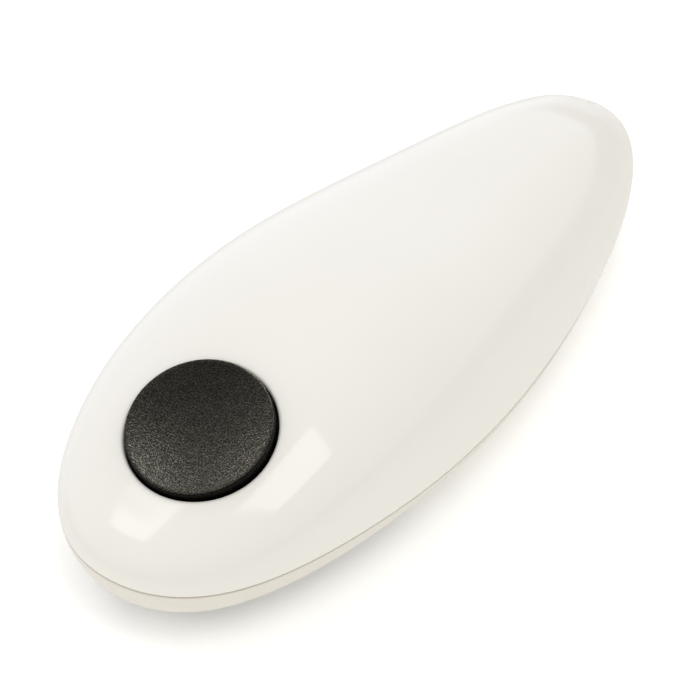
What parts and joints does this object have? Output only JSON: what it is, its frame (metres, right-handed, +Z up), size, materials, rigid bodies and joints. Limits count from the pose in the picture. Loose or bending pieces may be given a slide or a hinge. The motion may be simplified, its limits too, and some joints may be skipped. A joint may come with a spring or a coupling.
{
  "type": "electric can opener",
  "caption": "Hands-free cordless can opener: egg-shaped two-shell body with a large round push button, gear train, drive wheel and rotating cutter underneath",
  "frame": {"origin": "middle of the footprint, on the surface that the opener stands on", "axes": "+X from the blunt button end towards the narrow tail, +Y across the body, +Z up, out of the button side"},
  "size_m": [0.195, 0.0836, 0.0452],
  "materials": {
    "white_gloss": "high-gloss warm off-white ABS",
    "white_satin": "smooth warm off-white ABS, a little darker than the cover",
    "black_grained": "black, fine leather grain on top, smooth side wall",
    "black_plastic": "black moulded plastic, fine texture",
    "grey_plastic": "grey moulded plastic",
    "natural_acetal": "natural acetal, slightly translucent",
    "red_plastic": "red plastic",
    "cell_jacket": "printed-free green jacket with bare metal ends",
    "dark_steel": "dark zinc-plated steel",
    "steel": "ground steel",
    "spring_steel": "drawn spring wire",
    "nickel": "nickel plate",
    "bronze": "sintered bronze and machined brass"
  },
  "bodies": {
    "body": {"top_cover": "white_gloss", "lower_casing": "white_satin", "casing_screw_1": "dark_steel", "casing_screw_2": "dark_steel", "casing_screw_3": "dark_steel", "casing_screw_4": "dark_steel", "gearbox_screw_1": "dark_steel", "gearbox_screw_2": "dark_steel", "gearbox_screw_3": "dark_steel", "gearbox_screw_4": "dark_steel", "strap_screw_1": "dark_steel", "strap_screw_2": "dark_steel", "button_guide": "grey_plastic", "button_spring": "spring_steel", "switch_body": "black_plastic", "switch_terminal_1": "nickel", "switch_terminal_2": "nickel", "motor_can": "nickel", "motor_end_cap": "grey_plastic", "motor_terminal_1": "nickel", "motor_terminal_2": "nickel", "motor_cradle": "grey_plastic", "motor_strap": "steel", "worm_gear_axle": "steel", "stage_gear_axle": "steel", "mechanism_plate": "black_plastic", "gearbox_top_plate": "grey_plastic", "spindle_bush": "bronze", "carrier_bush": "bronze", "cutter_guard": "black_plastic", "magnet_holder": "black_plastic", "lid_magnet": "nickel", "cell_1": "cell_jacket", "cell_2": "cell_jacket", "contact_negative": "nickel", "contact_positive": "nickel", "contact_link": "nickel", "contact_spring_1": "spring_steel", "contact_spring_2": "spring_steel", "lead_switch_cell": "red_plastic", "lead_switch_motor": "red_plastic", "lead_motor_cell": "black_plastic"},
    "button": {"button_cap": "black_grained"},
    "switch": {"switch_plunger": "red_plastic"},
    "rotor": {"motor_shaft": "steel", "motor_rotor": "dark_steel", "worm": "bronze"},
    "first_gear": {"worm_gear": "natural_acetal"},
    "second_gear": {"stage_gear": "natural_acetal"},
    "drive": {"drive_gear": "natural_acetal", "drive_spindle": "steel", "drive_wheel": "steel"},
    "slip_gear": {"carrier_gear": "natural_acetal"},
    "carrier": {"cutter_carrier": "dark_steel", "cutter_rivet": "steel", "cutter_spacer": "steel", "clutch_washer": "spring_steel", "carrier_clip": "spring_steel"},
    "cutter": {"cutter_wheel": "steel"},
    "door": {"battery_door": "white_satin"}
  },
  "joints": [
    {"name": "button_press", "type": "slide", "parent": "body", "child": "button", "axis": [0.3173, 0, -0.9483], "range_m": [0, 0.002], "stiffness_N_per_m": 900, "springref_m": -0.002, "deforming": ["button_spring"]},
    {"name": "switch_press", "type": "slide", "parent": "body", "child": "switch", "axis": [0.3173, 0, -0.9483], "range_m": [0, 0.002]},
    {"name": "motor_spin", "type": "hinge", "parent": "body", "child": "rotor", "pos_m": [-0.0275, 0, 0.0216], "axis": [1, 0, 0], "continuous": true},
    {"name": "first_gear_spin", "type": "hinge", "parent": "body", "child": "first_gear", "pos_m": [-0.0375, -0.012, 0.02], "axis": [0, 0, 1], "continuous": true},
    {"name": "second_gear_spin", "type": "hinge", "parent": "body", "child": "second_gear", "pos_m": [-0.05027, -0.01987, 0.018], "axis": [0, 0, 1], "continuous": true},
    {"name": "drive_spin", "type": "hinge", "parent": "body", "child": "drive", "pos_m": [-0.0525, 0, 0.012], "axis": [0, 0, 1], "continuous": true},
    {"name": "slip_gear_spin", "type": "hinge", "parent": "body", "child": "slip_gear", "pos_m": [-0.0695, 0, 0.011], "axis": [0, 0, 1], "continuous": true},
    {"name": "carrier_turn", "type": "hinge", "parent": "body", "child": "carrier", "pos_m": [-0.0695, 0, 0.006], "axis": [0, 0, 1], "range_deg": [0, 180]},
    {"name": "cutter_spin", "type": "hinge", "parent": "carrier", "child": "cutter", "pos_m": [-0.0735, 0, 0.003], "axis": [0, 0, 1], "continuous": true},
    {"name": "door_slide", "type": "slide", "parent": "body", "child": "door", "axis": [1, 0, 0], "range_m": [0, 0.06]}
  ],
  "couplings": [
    {"joint": "switch_press", "follows": "button_press", "ratio": 1},
    {"joint": "first_gear_spin", "follows": "motor_spin", "ratio": 0.041667},
    {"joint": "second_gear_spin", "follows": "motor_spin", "ratio": -0.010417},
    {"joint": "drive_spin", "follows": "motor_spin", "ratio": 0.0026042},
    {"joint": "slip_gear_spin", "follows": "motor_spin", "ratio": -0.0026042}
  ]
}
